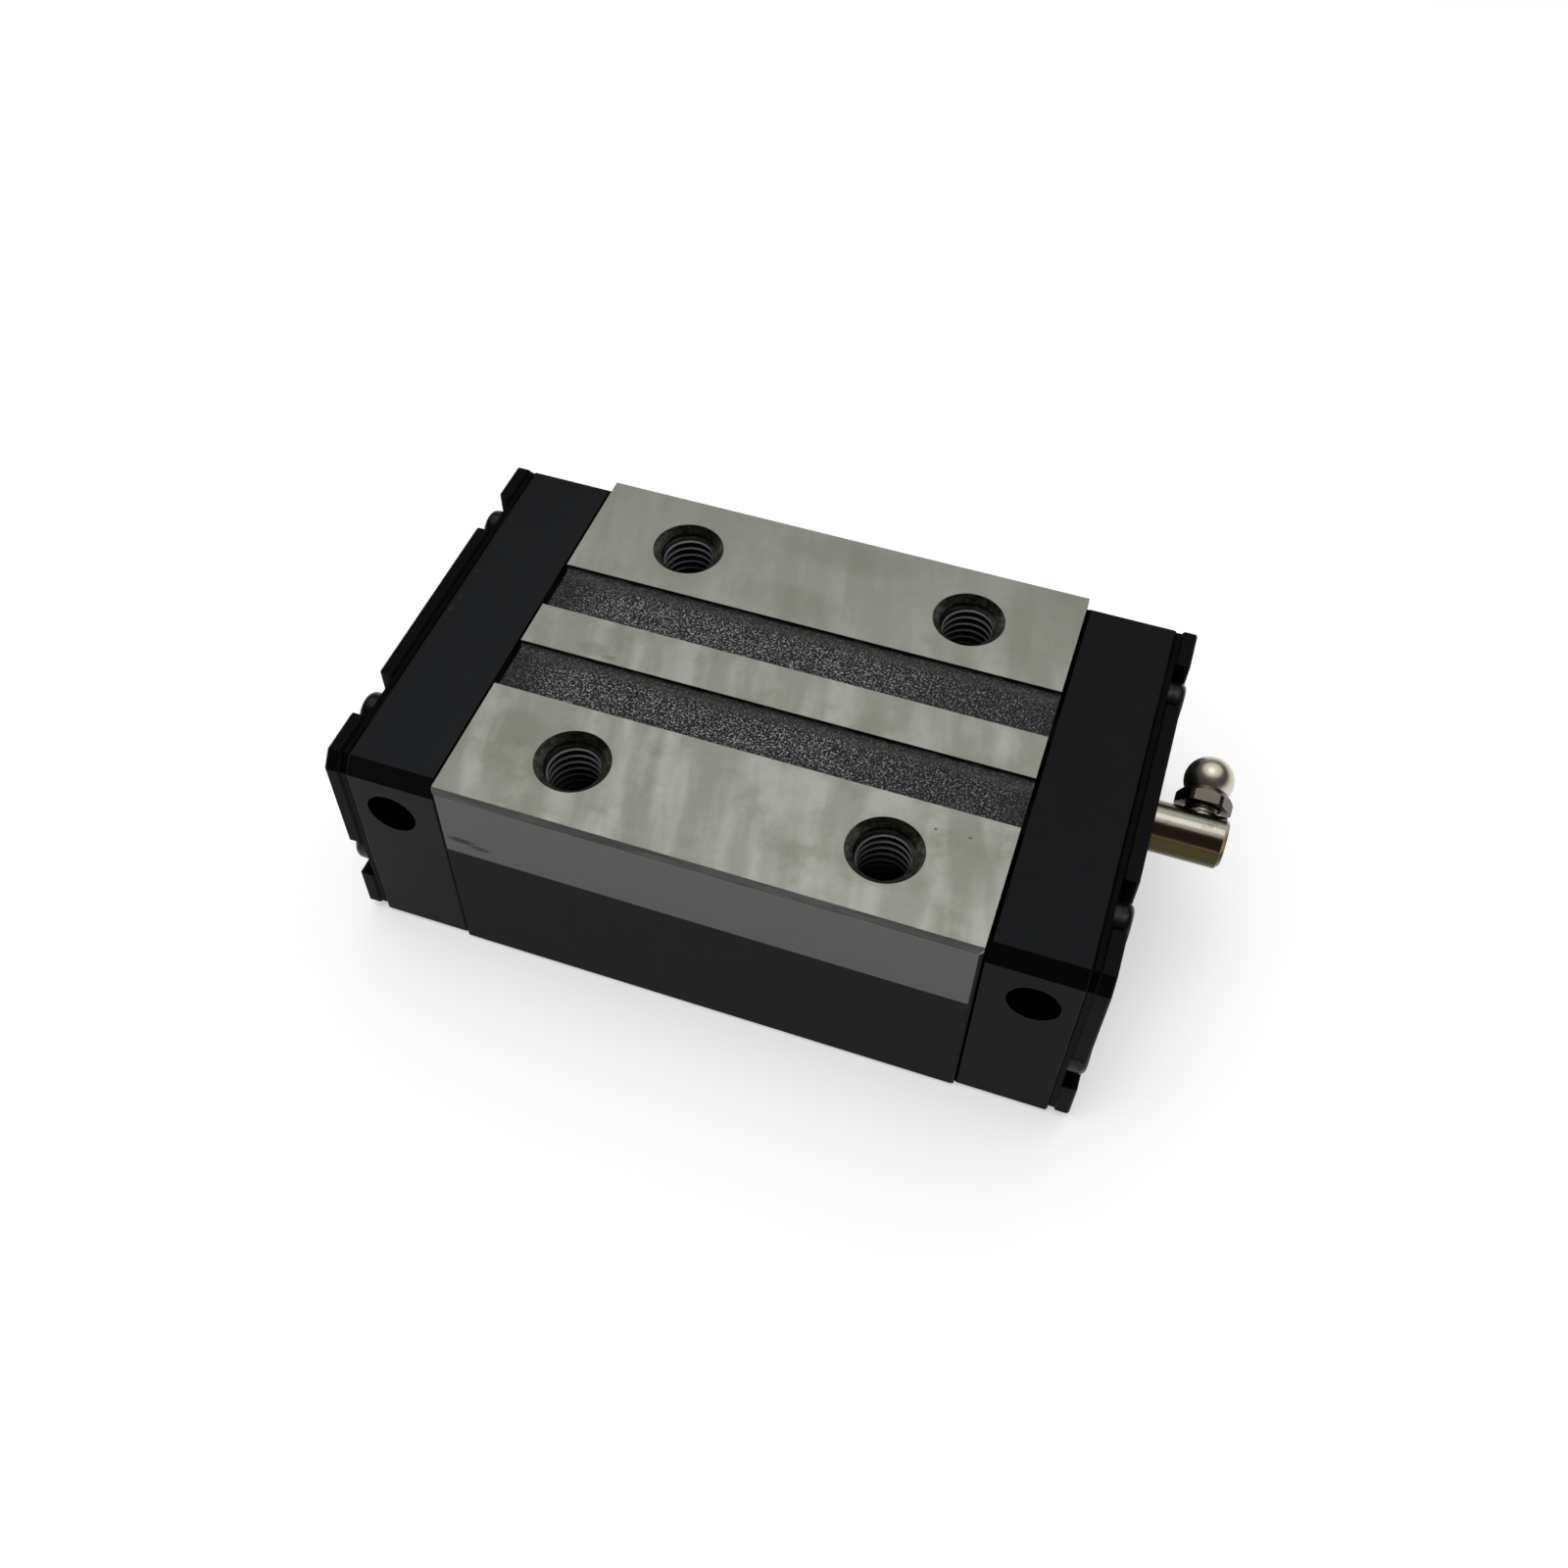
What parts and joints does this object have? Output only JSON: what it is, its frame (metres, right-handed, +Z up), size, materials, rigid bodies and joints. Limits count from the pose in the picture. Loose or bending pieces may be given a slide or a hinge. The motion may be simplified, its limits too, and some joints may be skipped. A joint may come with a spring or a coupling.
{
  "type": "linear bearing block",
  "caption": "Narrow recirculating-ball bearing block for a profile rail, with a ground steel body, moulded end caps, rubber end seals and a grease nipple on an elbow.",
  "frame": {"origin": "centre of the four mounting holes on the ground top face", "axes": "+X along the rail towards the grease nipple, +Y across the block, +Z up out of the mounting face"},
  "size_m": [0.1088, 0.06, 0.033],
  "materials": {
    "ground_steel": "ground on the top strips and the upper sides, rough and dark in the grooves, blackened lower down",
    "ball_steel": "polished",
    "black_resin": "moulded, satin",
    "retainer_resin": "moulded, satin",
    "black_rubber": "satin",
    "black_steel": "blackened",
    "nickelled_brass": "nickelled, polished"
  },
  "bodies": {
    "block": {"runner_block": "ground_steel", "ball_circuit_upper_near": "ball_steel", "ball_circuit_upper_far": "ball_steel", "ball_circuit_lower_near": "ball_steel", "ball_circuit_lower_far": "ball_steel", "centre_ball_retainer": "retainer_resin", "side_ball_retainer_near": "retainer_resin", "side_ball_retainer_far": "retainer_resin", "lower_ball_retainer_near": "retainer_resin", "lower_ball_retainer_far": "retainer_resin", "end_cap_left": "black_resin", "end_cap_right": "black_resin", "return_guide_left_near": "retainer_resin", "return_guide_left_far": "retainer_resin", "return_guide_right_near": "retainer_resin", "return_guide_right_far": "retainer_resin", "seal_plate_left": "black_steel", "seal_plate_right": "black_steel", "end_seal_left": "black_rubber", "end_seal_right": "black_rubber", "end_screws_left": "black_steel", "end_screws_right": "black_steel", "under_seal_near": "black_rubber", "under_seal_far": "black_rubber", "port_plug_left": "black_steel", "grease_elbow": "nickelled_brass", "nipple_body": "nickelled_brass", "nipple_spring": "ball_steel"},
    "check_ball": {"nipple_check_ball": "ball_steel"}
  },
  "joints": [
    {"name": "check_ball_lift", "type": "slide", "parent": "block", "child": "check_ball", "axis": [0, -0.9397, -0.342], "range_m": [0, 0.0008], "stiffness_N_per_m": 300, "springref_m": -0.0015, "deforming": ["nipple_spring"]}
  ]
}
